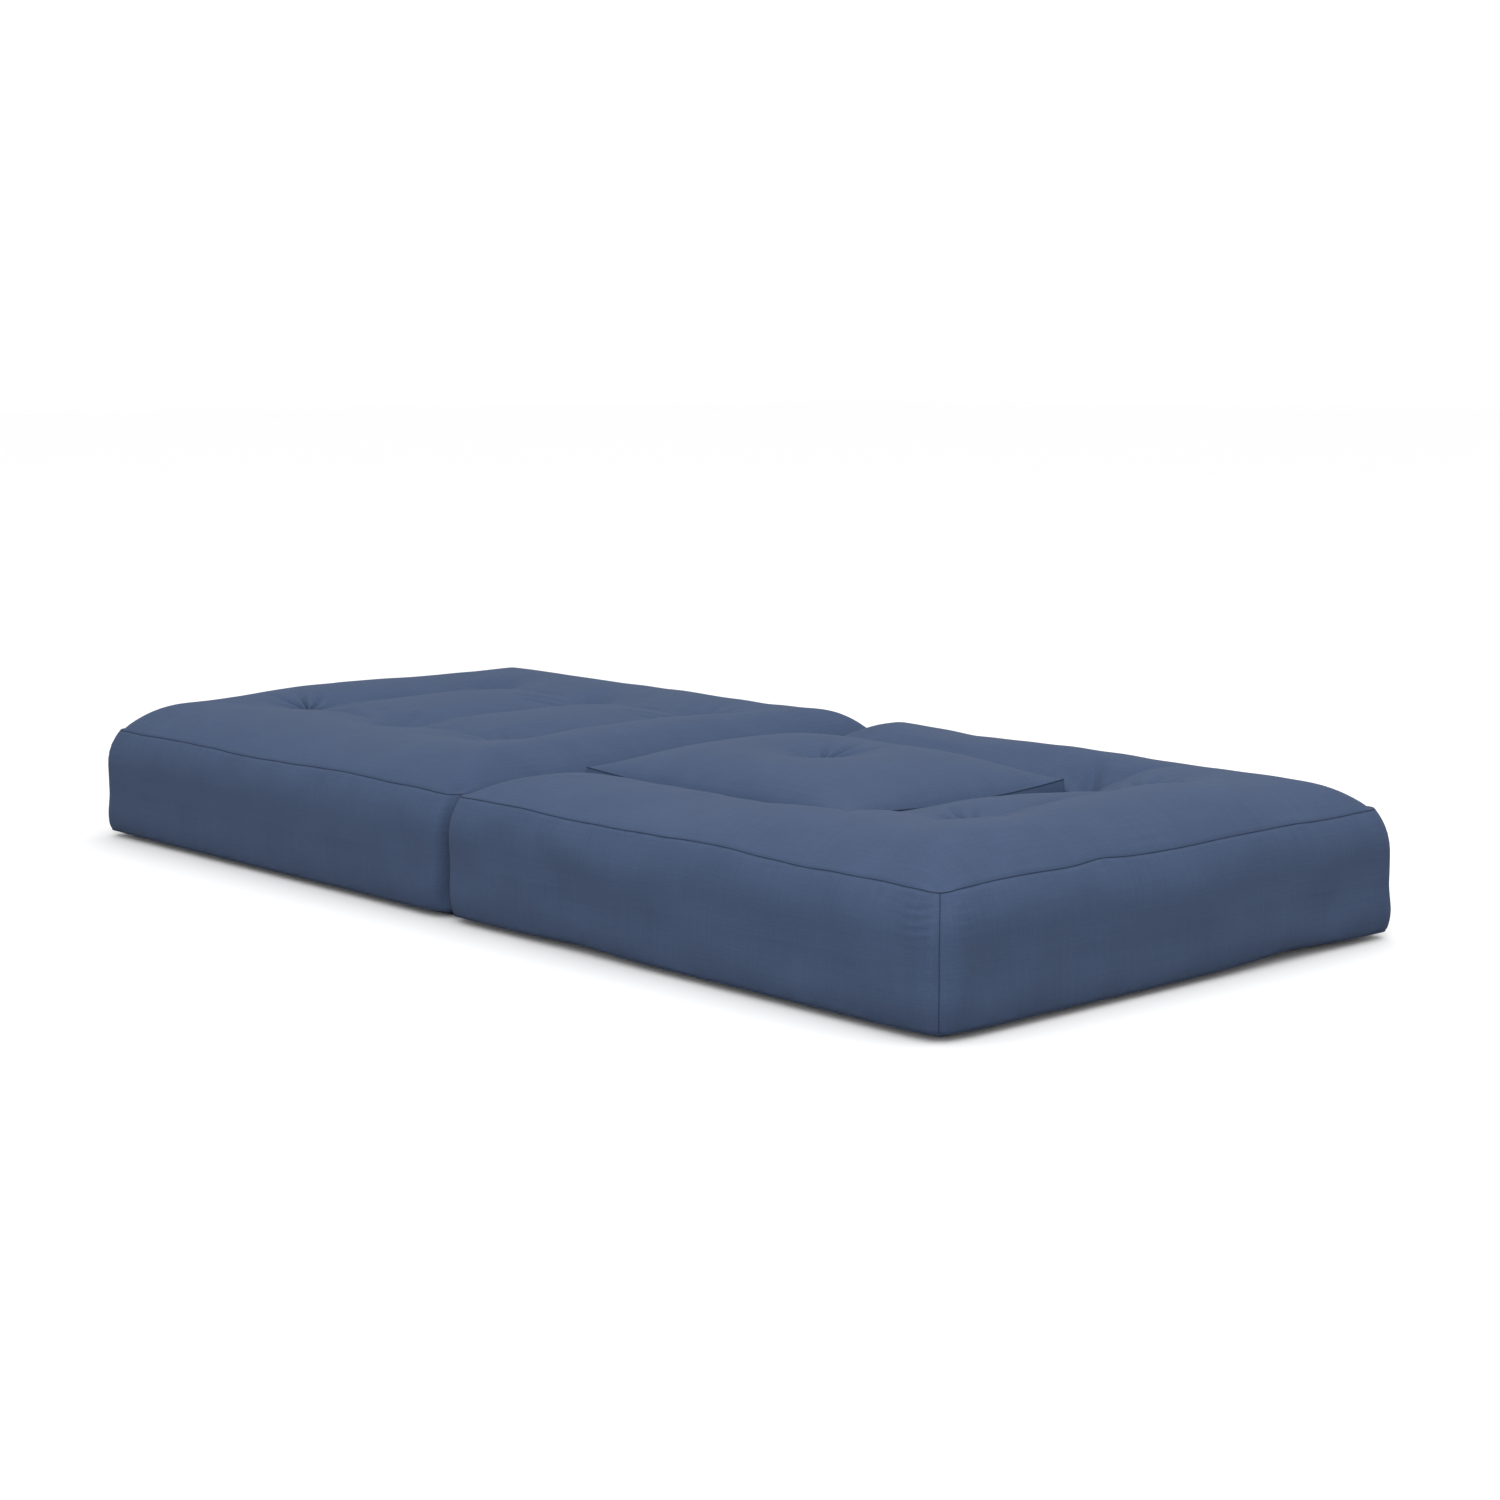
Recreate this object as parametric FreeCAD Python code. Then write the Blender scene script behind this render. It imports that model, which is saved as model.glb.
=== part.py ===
"""Two-block folding futon mattress with a hinged backrest cushion, as separate sewn and stuffed pieces.

The mattress lies flat on the plane Z = 0, with its length along X and its width along Y. The seat block
is on the +X side and carries the backrest cushion in a pocket. The fold block is on the -X side. The two
are sewn together along the top of the joint, at X = 0. Lengths are in millimetres.
"""

import FreeCAD, Part
import os

Vector = FreeCAD.Vector

# Driving dimensions of a block, seam to seam
BLOCK_LENGTH = 980.0
BLOCK_WIDTH = 900.0
TOP_SEAM = 186.0
BOTTOM_SEAM = 12.0
CORNER_RADIUS = 26.0
JOINT_GAP = 2.0  # from the plane X = 0 to each block's joint panel
SIDE_BULGE = 22.0
END_BULGE = 20.0
CLOTH = 1.2

# The padded top above the top seam: how far in from the seam, and how high above it
RIM_RINGS = ((0.0, 0.0), (9.0, 18.0), (28.0, 36.0), (60.0, 48.0), (112.0, 54.0))
RIM_TOP = TOP_SEAM + RIM_RINGS[-1][1]
UNDERSIDE_INSET = 26.0  # from the bottom seam in to where the underside meets the floor

# Filling layers
CORE_BOTTOM = 40.0
CORE_TOP = 150.0

# Tufts: two rows of three in each block
TUFT_X = (210.0, 490.0, 770.0)
TUFT_Y = (-197.0, 197.0)
TUFT_TOP = 204.0
TUFT_MOUTH_RADIUS = 30.0
TUFT_FOOT_RADIUS = 6.0
TUFT_RISE = 37.0  # from a tuft's foot to its mouth
UNDERSIDE_TUFT_DEPTH = 14.0
UNDERSIDE_TUFT_RADIUS = 36.0
POCKET_TUFT_DEPTH = 9.0
TWINE = 3.0
STITCH_LENGTH = 9.0

# Backrest cushion, and the pocket that it lies in
CUSHION_START = 12.0  # from the joint plane to the cushion's sewn edge
CUSHION_LENGTH = 576.0
CUSHION_WIDTH = 440.0
CUSHION_BOTTOM = 172.0
CUSHION_SEAM = 208.0
CUSHION_RADIUS = 18.0
CUSHION_RINGS = ((0.0, 0.0), (14.0, 16.0), (46.0, 32.0), (100.0, 42.0))
CUSHION_TOP = CUSHION_SEAM + CUSHION_RINGS[-1][1]
CUSHION_TUFT_TOP = 214.0
CUSHION_TUFT_MOUTH = 30.0
CUSHION_UNDER_TUFT_DEPTH = 8.0
CUSHION_UNDER_TUFT_MOUTH = 24.0
POCKET_CLEARANCE = 6.0
POCKET_FLOOR = 170.5
POCKET_SLOPE = 14.0
POCKET_LIP = 10.0  # from the plane X = 0 to the pocket's deep part

# Sewn hinges. The blocks fold about the line X = 0, Z = TOP_SEAM + 14: the middle of the hinge strip
# when it is pulled straight by the folded blocks. The cushion turns about its own seam nearest the joint.
HINGE_DEPTH = 22.0
HINGE_WIDTH = 880.0
HINGE_CLEARANCE = 0.1
CUSHION_HINGE_WIDTH = 424.0
CUSHION_HINGE_START = (3.4, TOP_SEAM + 2.0)
CUSHION_HINGE_END = (10.6, CUSHION_SEAM - 1.5)

# Sizes of the tools that cut the pieces apart
HIGH = 300.0  # above every piece
FAR = 2000.0  # outside every piece
WEDGE_REACH = 60.0
WEDGE_DEPTH = 200.0


def box(x0, x1, y0, y1, z0, z1):
    return Part.makeBox(x1 - x0, y1 - y0, z1 - z0, Vector(x0, y0, z0))


def rounded_rectangle(x0, x1, y0, y1, radius, z):
    """A closed wire of four straight edges and four corner arcs, at height z."""
    straight = []
    corners = ((x0, y0, 1, 1), (x1, y0, -1, 1), (x1, y1, -1, -1), (x0, y1, 1, -1))
    edges = []
    cut = radius * (1 - 0.5**0.5)
    for number, (x, y, inx, iny) in enumerate(corners):
        along_x = Vector(x + inx * radius, y, z)
        along_y = Vector(x, y + iny * radius, z)
        middle = Vector(x + inx * cut, y + iny * cut, z)
        first, last = (along_y, along_x) if number % 2 == 0 else (along_x, along_y)
        straight.append((first, last))
        edges.append(Part.Arc(first, middle, last).toShape())
    wire = []
    for number in range(4):
        wire.append(edges[number])
        end = straight[number][1]
        start = straight[(number + 1) % 4][0]
        wire.append(Part.LineSegment(end, start).toShape())
    return Part.Wire(wire)


def block_ring(inset, z, side_bulge=0.0, end_bulge=0.0, joint_inset=None):
    """The seat block's outline at height z, inset from the seams and swollen by the bulges."""
    joint_side = JOINT_GAP + (inset if joint_inset is None else joint_inset)
    half_width = BLOCK_WIDTH / 2 - inset + side_bulge
    radius = max(CORNER_RADIUS - inset / 2, 4.0)
    return rounded_rectangle(
        joint_side, BLOCK_LENGTH - inset + end_bulge, -half_width, half_width, radius, z
    )


def loft(rings, ruled=False):
    return Part.makeLoft(rings, True, ruled)


def frustum(x0, x1, half_width, slope, z0, z1):
    """A closed tapered well: the given size at z0, and wider by slope on every side at z1."""

    def rectangle(grow, z):
        points = [
            Vector(x0 - grow, -half_width - grow, z),
            Vector(x1 + grow, -half_width - grow, z),
            Vector(x1 + grow, half_width + grow, z),
            Vector(x0 - grow, half_width + grow, z),
        ]
        return Part.makePolygon(points + points[:1])

    return loft([rectangle(0.0, z0), rectangle(slope, z1)], ruled=True)


def cone(x, y, z0, r0, z1, r1):
    """A truncated cone from radius r0 at z0 up to radius r1 at z1."""
    return Part.makeCone(r0, r1, z1 - z0, Vector(x, y, z0))


def wall_layer(inset):
    """Everything between the two seams, inset evenly from the outer face."""
    middle = (TOP_SEAM + BOTTOM_SEAM) / 2
    return loft(
        [
            block_ring(inset, BOTTOM_SEAM),
            block_ring(inset, middle, SIDE_BULGE, END_BULGE),
            block_ring(inset, TOP_SEAM),
        ]
    )


def crown(inset):
    """The padded top above the top seam, before its tufts and pocket are sunk."""
    rings = []
    for ring_inset, rise in RIM_RINGS:
        drop = inset * rise / (RIM_TOP - TOP_SEAM)
        rings.append(block_ring(ring_inset + inset, TOP_SEAM + rise - drop))
    return loft(rings)


def underside(inset):
    """The shallow turned-under layer between the floor and the bottom seam."""
    return loft(
        [block_ring(UNDERSIDE_INSET + inset, inset), block_ring(inset, BOTTOM_SEAM)],
        ruled=True,
    )


def tuft_places():
    return [(x, y) for x in TUFT_X for y in TUFT_Y]


def in_pocket(x, y):
    return x < CUSHION_START + CUSHION_LENGTH and abs(y) < CUSHION_WIDTH / 2


def tuft_top(x, y, has_pocket):
    """Height of a tuft's stitch on the top face."""
    return POCKET_FLOOR - POCKET_TUFT_DEPTH if has_pocket and in_pocket(x, y) else TUFT_TOP


def top_hollows(grow, has_pocket):
    """What is sunk into a block's top: its tufts, and the cushion's pocket."""
    hollows = []
    if has_pocket:
        half_width = CUSHION_WIDTH / 2 + POCKET_CLEARANCE + grow
        pocket_end = CUSHION_START + CUSHION_LENGTH + POCKET_CLEARANCE + grow
        start = POCKET_LIP - grow
        deep = frustum(start, pocket_end, half_width, POCKET_SLOPE, POCKET_FLOOR - grow, HIGH)
        beyond_lip = box(start, FAR, -FAR, FAR, 0.0, HIGH)
        lip = box(0.0, pocket_end / 2, -half_width, half_width, TOP_SEAM + CLOTH - grow, HIGH)
        hollows += [deep.common(beyond_lip), lip]
    for x, y in tuft_places():
        foot = tuft_top(x, y, has_pocket) - grow
        mouth = foot + TUFT_RISE
        hollows.append(cone(x, y, foot, TUFT_FOOT_RADIUS + grow, mouth, TUFT_MOUTH_RADIUS + grow))
    return hollows


def underside_hollows(grow):
    foot, foot_radius = UNDERSIDE_TUFT_DEPTH + grow, TUFT_FOOT_RADIUS + grow
    return [
        cone(x, y, -1.0, UNDERSIDE_TUFT_RADIUS + grow, foot, foot_radius) for x, y in tuft_places()
    ]


def twine_hole(x, y, z0, z1):
    return box(x - TWINE / 2, x + TWINE / 2, y - TWINE / 2, y + TWINE / 2, z0, z1)


def tuft_tie(x, y, low, high):
    """One length of twine between two faces, with the stitch that holds it outside each face."""
    half, bar = TWINE / 2, STITCH_LENGTH / 2
    upper = box(x - bar, x + bar, y - half, y + half, high, high + TWINE / 2)
    lower = box(x - bar, x + bar, y - half, y + half, low - TWINE / 2, low)
    return twine_hole(x, y, low, high).multiFuse([upper, lower]).removeSplitter()


def cut_twine_holes(shape):
    return shape.cut(Part.makeCompound([twine_hole(x, y, -1.0, HIGH) for x, y in tuft_places()]))


def corner_wedge(side):
    """The upright prism that holds one wall panel, out to the diagonals of the block's corners."""
    x0, x1 = JOINT_GAP, BLOCK_LENGTH
    half = BLOCK_WIDTH / 2
    outer = {
        "low_near": (x0 - WEDGE_REACH, -half - WEDGE_REACH),
        "high_near": (x1 + WEDGE_REACH, -half - WEDGE_REACH),
        "high_far": (x1 + WEDGE_REACH, half + WEDGE_REACH),
        "low_far": (x0 - WEDGE_REACH, half + WEDGE_REACH),
    }
    inner = {
        "low_near": (x0 + WEDGE_DEPTH, -half + WEDGE_DEPTH),
        "high_near": (x1 - WEDGE_DEPTH, -half + WEDGE_DEPTH),
        "high_far": (x1 - WEDGE_DEPTH, half - WEDGE_DEPTH),
        "low_far": (x0 + WEDGE_DEPTH, half - WEDGE_DEPTH),
    }
    ends = {
        "front": ("low_near", "high_near"),
        "end": ("high_near", "high_far"),
        "back": ("high_far", "low_far"),
        "joint": ("low_far", "low_near"),
    }
    first, last = ends[side]
    points = [Vector(x, y, 0.0) for x, y in (outer[first], outer[last], inner[last], inner[first])]
    return Part.Face(Part.makePolygon(points + points[:1])).extrude(Vector(0, 0, HIGH))


def make_block(has_pocket):
    """Every piece of one block, built on the +X side, as a dict of shapes."""
    wall_inside = wall_layer(CLOTH)
    wall_shell = wall_layer(0.0).cut(wall_inside)
    upper_wall = wall_inside.common(box(-FAR, FAR, -FAR, FAR, CORE_TOP, TOP_SEAM))
    lower_wall = wall_inside.common(box(-FAR, FAR, -FAR, FAR, BOTTOM_SEAM, CORE_BOTTOM))

    outer_top = crown(0.0).fuse(upper_wall).cut(Part.makeCompound(top_hollows(0.0, has_pocket)))
    inner_top = crown(CLOTH).fuse(upper_wall).cut(Part.makeCompound(top_hollows(CLOTH, has_pocket)))
    outer_under = underside(0.0).cut(Part.makeCompound(underside_hollows(0.0)))
    inner_under = (
        underside(CLOTH).fuse(lower_wall).cut(Part.makeCompound(underside_hollows(CLOTH)))
    )
    core = wall_inside.common(box(-FAR, FAR, -FAR, FAR, CORE_BOTTOM, CORE_TOP))

    ties = [
        tuft_tie(x, y, UNDERSIDE_TUFT_DEPTH, tuft_top(x, y, has_pocket)) for x, y in tuft_places()
    ]
    pieces = {
        "top_panel": cut_twine_holes(outer_top.cut(inner_top)),
        "top_felt": cut_twine_holes(inner_top),
        "foam_core": cut_twine_holes(core),
        "bottom_felt": cut_twine_holes(inner_under),
        "bottom_panel": cut_twine_holes(outer_under.cut(inner_under)),
        "tuft_ties": Part.makeCompound(ties),
    }
    for side in ("front", "back", "end", "joint"):
        pieces[side + "_panel"] = wall_shell.common(corner_wedge(side))
    return pieces


def cushion_ring(inset, z):
    half_width = CUSHION_WIDTH / 2 - inset
    return rounded_rectangle(
        CUSHION_START + inset, CUSHION_START + CUSHION_LENGTH - inset,
        -half_width, half_width, max(CUSHION_RADIUS - inset / 3, 4.0), z,
    )


def make_backrest():
    """The backrest cushion's cover, filling and single tuft."""
    middle_x = CUSHION_START + CUSHION_LENGTH / 2
    under_foot = CUSHION_BOTTOM + CUSHION_UNDER_TUFT_DEPTH

    def top(inset):
        rings = []
        for ring_inset, rise in CUSHION_RINGS:
            drop = inset * rise / CUSHION_RINGS[-1][1]
            rings.append(cushion_ring(ring_inset + inset, CUSHION_SEAM + rise - drop))
        foot, foot_radius = CUSHION_TUFT_TOP - inset, TUFT_FOOT_RADIUS + inset
        mouth = CUSHION_TUFT_MOUTH + inset
        return loft(rings).cut(cone(middle_x, 0.0, foot, foot_radius, CUSHION_TOP + 1.0, mouth))

    def slab(inset, bottom):
        return loft([cushion_ring(inset, bottom), cushion_ring(inset, CUSHION_SEAM)], ruled=True)

    def under_tuft(grow):
        mouth = CUSHION_UNDER_TUFT_MOUTH + grow
        low = CUSHION_BOTTOM - 1.0
        return cone(middle_x, 0.0, low, mouth, under_foot + grow, TUFT_FOOT_RADIUS + grow)

    hole = twine_hole(middle_x, 0.0, 0.0, HIGH)
    filling = slab(CLOTH, CUSHION_BOTTOM + CLOTH).cut(under_tuft(CLOTH))
    lining = slab(CLOTH, CUSHION_BOTTOM).cut(under_tuft(0.0)).cut(filling)
    return {
        "top_panel": top(0.0).cut(top(CLOTH)).cut(hole),
        "felt": top(CLOTH).cut(hole),
        "foam_core": filling.cut(hole),
        "bottom_panel": lining.cut(hole),
        "side_band": slab(0.0, CUSHION_BOTTOM).cut(slab(CLOTH, CUSHION_BOTTOM)),
        "tuft_tie": tuft_tie(middle_x, 0.0, under_foot, CUSHION_TUFT_TOP),
    }


def make_fold_hinge():
    """A strip of cover cloth folded down into the joint, sewn to both blocks' top seams."""
    half_gap = JOINT_GAP - HINGE_CLEARANCE
    low = TOP_SEAM - HINGE_DEPTH
    outer = box(-half_gap, half_gap, -HINGE_WIDTH / 2, HINGE_WIDTH / 2, low, TOP_SEAM)
    inside = half_gap - CLOTH
    slot = box(-inside, inside, -HINGE_WIDTH / 2, HINGE_WIDTH / 2, low + CLOTH, TOP_SEAM)
    return outer.cut(slot)


def make_backrest_hinge():
    """A slanting tape from the joint's top seam up to the cushion's sewn edge."""
    (x0, z0), (x1, z1) = CUSHION_HINGE_START, CUSHION_HINGE_END
    run, rise = x1 - x0, z1 - z0
    length = (run**2 + rise**2) ** 0.5
    across_x, across_z = -rise / length * CLOTH, run / length * CLOTH
    y = -CUSHION_HINGE_WIDTH / 2
    points = [
        Vector(x0, y, z0),
        Vector(x1, y, z1),
        Vector(x1 + across_x, y, z1 + across_z),
        Vector(x0 + across_x, y, z0 + across_z),
    ]
    face = Part.Face(Part.makePolygon(points + points[:1]))
    return face.extrude(Vector(0, CUSHION_HINGE_WIDTH, 0))


def export(name, shape):
    solids = shape.Solids
    if not solids:
        raise ValueError(name + " has no solid")
    for solid in solids:
        if not solid.isValid():
            raise ValueError(name + " has an invalid solid")
    whole = solids[0] if len(solids) == 1 else Part.makeCompound(solids)
    whole.exportStep(os.path.join("parts", name + ".step"))
    print(f"{name}: {len(solids)} solid(s), {whole.Volume / 1e6:.3f} litres")


def main():
    os.makedirs("parts", exist_ok=True)
    for name, shape in make_block(has_pocket=True).items():
        export("seat_" + name, shape)
    for name, shape in make_block(has_pocket=False).items():
        export("fold_" + name, shape.mirror(Vector(0, 0, 0), Vector(1, 0, 0)))
    for name, shape in make_backrest().items():
        export("backrest_" + name, shape)
    export("fold_hinge_strip", make_fold_hinge())
    export("backrest_hinge_tape", make_backrest_hinge())


main()
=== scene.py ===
"""Looks for the folding futon mattress.

Two tufted blocks of navy cotton are sewn together along the top of their joint, and a boxed backrest
cushion lies in the pocket of one of them. Every cover here is a fine mesh over the CAD pieces that it
stands for. Lengths are in metres, in the CAD frame. In a block's own coordinates u runs outward from
the joint, v across the width and z up.
"""

import math

import bpy
import numpy as np
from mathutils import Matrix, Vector


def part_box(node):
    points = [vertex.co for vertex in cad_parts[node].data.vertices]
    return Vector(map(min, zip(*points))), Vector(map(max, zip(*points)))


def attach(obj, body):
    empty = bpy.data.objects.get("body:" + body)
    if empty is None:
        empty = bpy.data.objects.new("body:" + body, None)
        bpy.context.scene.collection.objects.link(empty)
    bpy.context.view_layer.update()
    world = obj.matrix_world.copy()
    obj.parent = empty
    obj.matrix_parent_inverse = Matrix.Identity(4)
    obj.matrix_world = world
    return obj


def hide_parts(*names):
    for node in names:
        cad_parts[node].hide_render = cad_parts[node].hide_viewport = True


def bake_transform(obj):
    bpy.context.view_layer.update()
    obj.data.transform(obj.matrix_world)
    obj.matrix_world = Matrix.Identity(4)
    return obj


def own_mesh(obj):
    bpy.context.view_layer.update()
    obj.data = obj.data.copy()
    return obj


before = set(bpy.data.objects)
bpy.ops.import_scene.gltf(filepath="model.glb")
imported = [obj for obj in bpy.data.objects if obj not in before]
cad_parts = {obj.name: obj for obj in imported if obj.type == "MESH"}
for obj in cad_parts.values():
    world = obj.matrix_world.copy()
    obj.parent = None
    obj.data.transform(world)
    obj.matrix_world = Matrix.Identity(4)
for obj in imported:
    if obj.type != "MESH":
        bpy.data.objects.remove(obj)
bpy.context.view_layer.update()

# Sizes that the CAD gives
SIDE_LOW, SIDE_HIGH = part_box("seat_front_panel")
CROWN_LOW, CROWN_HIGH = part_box("seat_top_panel")
BAND_LOW, BAND_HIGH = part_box("backrest_side_band")
CUSHION_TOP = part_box("backrest_top_panel")[1].z
BOTTOM_SEAM, TOP_SEAM = SIDE_LOW.z, SIDE_HIGH.z
JOINT_GAP = CROWN_LOW.x
BLOCK_END = CROWN_HIGH.x
HALF_WIDTH = CROWN_HIGH.y
CROWN_RISE = CROWN_HIGH.z - TOP_SEAM
BLOCK_MIDDLE = (JOINT_GAP + BLOCK_END) / 2
HALF_LENGTH = (BLOCK_END - JOINT_GAP) / 2

# A block's shape
CORNER_RADIUS = 0.024
CORNER_ARCS = {"end": (45, 45), "back": (45, 90), "joint": (0, 0), "front": (90, 45)}  # degrees
SIDE_BULGE = 0.022
JOINT_LEAN = 0.004  # how far a face in the joint draws back at its foot
RIM_WIDTH = 0.120  # from a long seam in to the crest of the padded rim
RIM_POWER = 2.3
CORNER_POWER = 3.0  # how sharply the slopes of two sides meet near a corner
FIELD_SAG = 0.008  # how far the middle lies below the rim
TUFT_WIDTH = 0.043
TUFT_POWER = 1.3  # how steeply a dimple falls to its tuft
ROW_DEPTH = 0.007  # the dip between neighbouring tufts of a row
VALLEY_WIDTH = 0.035
VALLEY_POWER = 1.6
SHARED_DIP = 0.25  # how much of the shallower dip adds to the deeper where they cross
UNDERSIDE_INSET = 0.036
UNDERSIDE_POWER = 1.1
UNDERSIDE_TUFT_DEPTH = 0.014
UNDERSIDE_TUFT_WIDTH = 0.030
FLOOR_CLEARANCE = 0.0002
FLARE = 0.016  # how far the foot of a side spreads on the floor
FLARE_HEIGHT = 0.085
FLARE_DEPTH = 0.10  # how far in from the outer sides the spread reaches
SEAM_TUCK = 0.0016  # how far the cloth turns in at a seam
SEAM_TUCK_WIDTH = 0.0020
CORNER_TUCK = 0.6 * SEAM_TUCK
SEAM_RADIUS = 0.0008
SEAM_PROUD = 0.0006  # how far a seam's centre stands out of its tuck
CORNER_PROUD = 0.0004

# Each tuft: u, v, depth, height of its pleats, and the direction in which they run furthest
FOLD_TUFTS = (
    (0.210, -0.197, 0.027, 0.0030, 0.5),
    (0.210, 0.197, 0.024, 0.0034, 1.9),
    (0.490, -0.197, 0.029, 0.0024, 2.2),
    (0.490, 0.197, 0.028, 0.0012, 0.8),
    (0.770, -0.197, 0.015, 0.0066, 0.4),
    (0.770, 0.197, 0.029, 0.0014, 2.6),
)
SEAT_TUFTS = (
    (0.210, -0.197, 0.027, 0.0015, 3.0),
    (0.210, 0.197, 0.027, 0.0015, 1.0),
    (0.490, -0.197, 0.027, 0.0015, 2.0),
    (0.490, 0.197, 0.027, 0.0015, 0.0),
    (0.800, -0.200, 0.028, 0.0050, 2.8),
    (0.755, 0.190, 0.030, 0.0074, 2.4),
)

# How far the rims settle below their full height
FOLD_SAG = 0.009
SEAT_NEAR_SAG = 0.019
SEAT_FAR_SAG = 0.009
BESIDE_CUSHION_SAG = 0.013

# Places where the cloth is pulled out of line: where, how far around it, and by how much
NEAR = -HALF_WIDTH
END = BLOCK_END + 0.002  # a little outside the end's seams
TUGS = (
    # the corners beside the joint: the fold block's is rounded off most
    ((-JOINT_GAP, NEAR, 0.100), (0.030, 0.034, 0.400), (-0.014, 0.010, 0.0)),
    ((JOINT_GAP, NEAR, 0.100), (0.022, 0.026, 0.400), (-0.003, 0.002, 0.0)),
    ((-JOINT_GAP, NEAR, TOP_SEAM), (0.040, 0.040, 0.060), (0.001, 0.002, -0.003)),
    # the near top seam
    ((0.560, NEAR, TOP_SEAM), (0.080, 0.080, 0.080), (0.0, 0.002, 0.0025)),
    ((0.730, NEAR, TOP_SEAM), (0.070, 0.070, 0.070), (0.0, -0.001, -0.003)),
    ((0.900, NEAR, TOP_SEAM), (0.050, 0.050, 0.050), (0.0, 0.0, 0.001)),
    ((-0.560, NEAR, TOP_SEAM), (0.070, 0.070, 0.070), (0.0, 0.0, -0.002)),
    ((-0.300, NEAR, TOP_SEAM), (0.090, 0.090, 0.090), (0.0, 0.001, 0.002)),
    # the seat block's near end corner, and the top seam at its end
    ((END, NEAR, TOP_SEAM), (0.020, 0.020, 0.030), (-0.001, 0.001, -0.003)),
    ((END, -0.230, TOP_SEAM), (0.060, 0.060, 0.060), (0.001, 0.0, -0.002)),
    ((END, -0.150, TOP_SEAM), (0.036, 0.036, 0.036), (-0.002, 0.0, 0.003)),
    # the bottom seam
    ((END + 0.002, 0.230, 0.015), (0.060, 0.100, 0.060), (0.0, 0.0, 0.006)),
    ((0.300, NEAR - 0.002, 0.020), (0.090, 0.090, 0.090), (0.0, 0.002, 0.003)),
    ((END, NEAR, 0.012), (0.040, 0.040, 0.040), (-0.008, 0.006, 0.0)),
)

# The unevenness that all covers share: size and wavelength of the wide and of the small waves
WIDE_WAVES = (0.0010, 0.42)
SMALL_WAVES = (0.0003, 0.11)

# Sizes of the small ripples in the sides, and of the wrinkles beside each side's two corner seams
PUCKER = 0.0005
SOFT_RIPPLE = 0.0012
WRINKLES = (0.0004, 0.0004)
SEAT_FRONT_WRINKLES = (0.0003, 0.0011)

# The simulated cloth
CLOTH_STEP = 0.008  # spacing of the simulated cloth
MESH_STEP = 0.0045  # spacing of the finished mesh
PRESSURE = 0.6
MOST_MOVEMENT = 0.006
TIED_RADIUS = 0.009  # the cloth that a tuft's twine holds
LOOSE_WIDTH = 0.085  # how far the slack reaches from a tuft

# Pleats round a tuft
PLEAT_COUNTS = (9, 14)
PLEAT_REACH = 0.014
PLEAT_LONGER_REACH = 0.034  # added where the pleats run furthest
PLEAT_HEIGHT = 3.2  # against the height that a tuft gives, because pleats fade towards both ends

# The pocket that the cushion lies in
CUSHION_START = BAND_LOW.x + 0.013  # the filling draws the hinged edge in
CUSHION_MIDDLE_U = (CUSHION_START + BAND_HIGH.x) / 2
CUSHION_HALF_U = (BAND_HIGH.x - CUSHION_START) / 2
CUSHION_HALF_V = BAND_HIGH.y
POCKET_FLOOR = BAND_LOW.z - 0.0015
POCKET_EDGE = TOP_SEAM + 0.012
POCKET_MARGIN = 0.006
POCKET_STRETCH = 0.022  # how much wider it is at its stretched corner
POCKET_DROP = 0.014  # how much lower its edge lies there
POCKET_CREASE = ((0.618, 0.240), (0.545, 0.345))  # where the fold of cloth from there starts and ends
CREASE_DEPTH = 0.022
POCKET_WALL = 0.012  # how far inside its edge the pocket reaches its floor
PRESSED_REACH = 0.11  # how far from the pocket the top has settled

# The backrest cushion
CUSHION_RISE = CUSHION_TOP - BAND_HIGH.z
CUSHION_CROWN = 1.12  # how high the cloth would stand in the middle without its tuft, in rises
CUSHION_PULL = 0.006  # how far the sides pull in between the corners
CUSHION_SINK = 0.012  # how far the top seam sinks between the corners
CUSHION_TUFT_DROP = 0.040
CUSHION_TUFT_WIDTH = 0.068
CUSHION_UNDER_DIP = 0.008
CUSHION_TUFT = (0.0, 0.0, CUSHION_TUFT_DROP, 0.0076, 1.4)

# Twine: half the length of a stitch, its rise, its thickness and the directions of the two
STITCH_REACH = 0.0045
STITCH_RISE = 0.0012
TWINE_RADIUS = 0.0009
STITCH_TURNS = (0.4, 2.0)
UNDERSIDE_STITCH_HEIGHT = 0.0125

# Colours, and how much slubs, patches, weave and flecks change them
NAVY = (0.052, 0.078, 0.142)
# the seam cord is the navy cloth darkened: painted shade for the shadow that falls in each seam's groove
SEAM_PAINTED_SHADE = 0.62
TWINE_SHADE = 0.45
SLUB_SHADE = 0.15
PATCH_SHADE = 0.20
WEAVE_SHADE = 0.10
FLECK_SHADE = 0.24

# The camera, and the two floors: the height and the shade of each
CAMERA_PLACE = (3.1663, -2.7509, 0.8100)
CAMERA_YAW = math.radians(47.65)
CAMERA_PITCH = math.radians(8.15)
CAMERA_LENS = 64.9  # mm
CAMERA_SENSOR = 36.0  # mm
FLOOR_REACH = 40.0
PALE_FLOOR = (0.0, 0.93)
DIM_FLOOR = (-0.002, 0.10)


# ---------------------------------------------------------------- small tools


def ripple(points, seed, wavelength):
    """A smooth random value at each point, mostly between -1.5 and 1.5, of about that wavelength."""
    rng = np.random.default_rng(seed)
    count = 24
    direction = rng.normal(size=(count, 3))
    direction /= np.linalg.norm(direction, axis=1)[:, None]
    number = 2 * math.pi / wavelength * rng.uniform(0.7, 1.4, count)
    phase = rng.uniform(0, 2 * math.pi, count)
    return np.sin(points @ (direction * number[:, None]).T + phase).sum(-1) / math.sqrt(count / 2)


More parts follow.
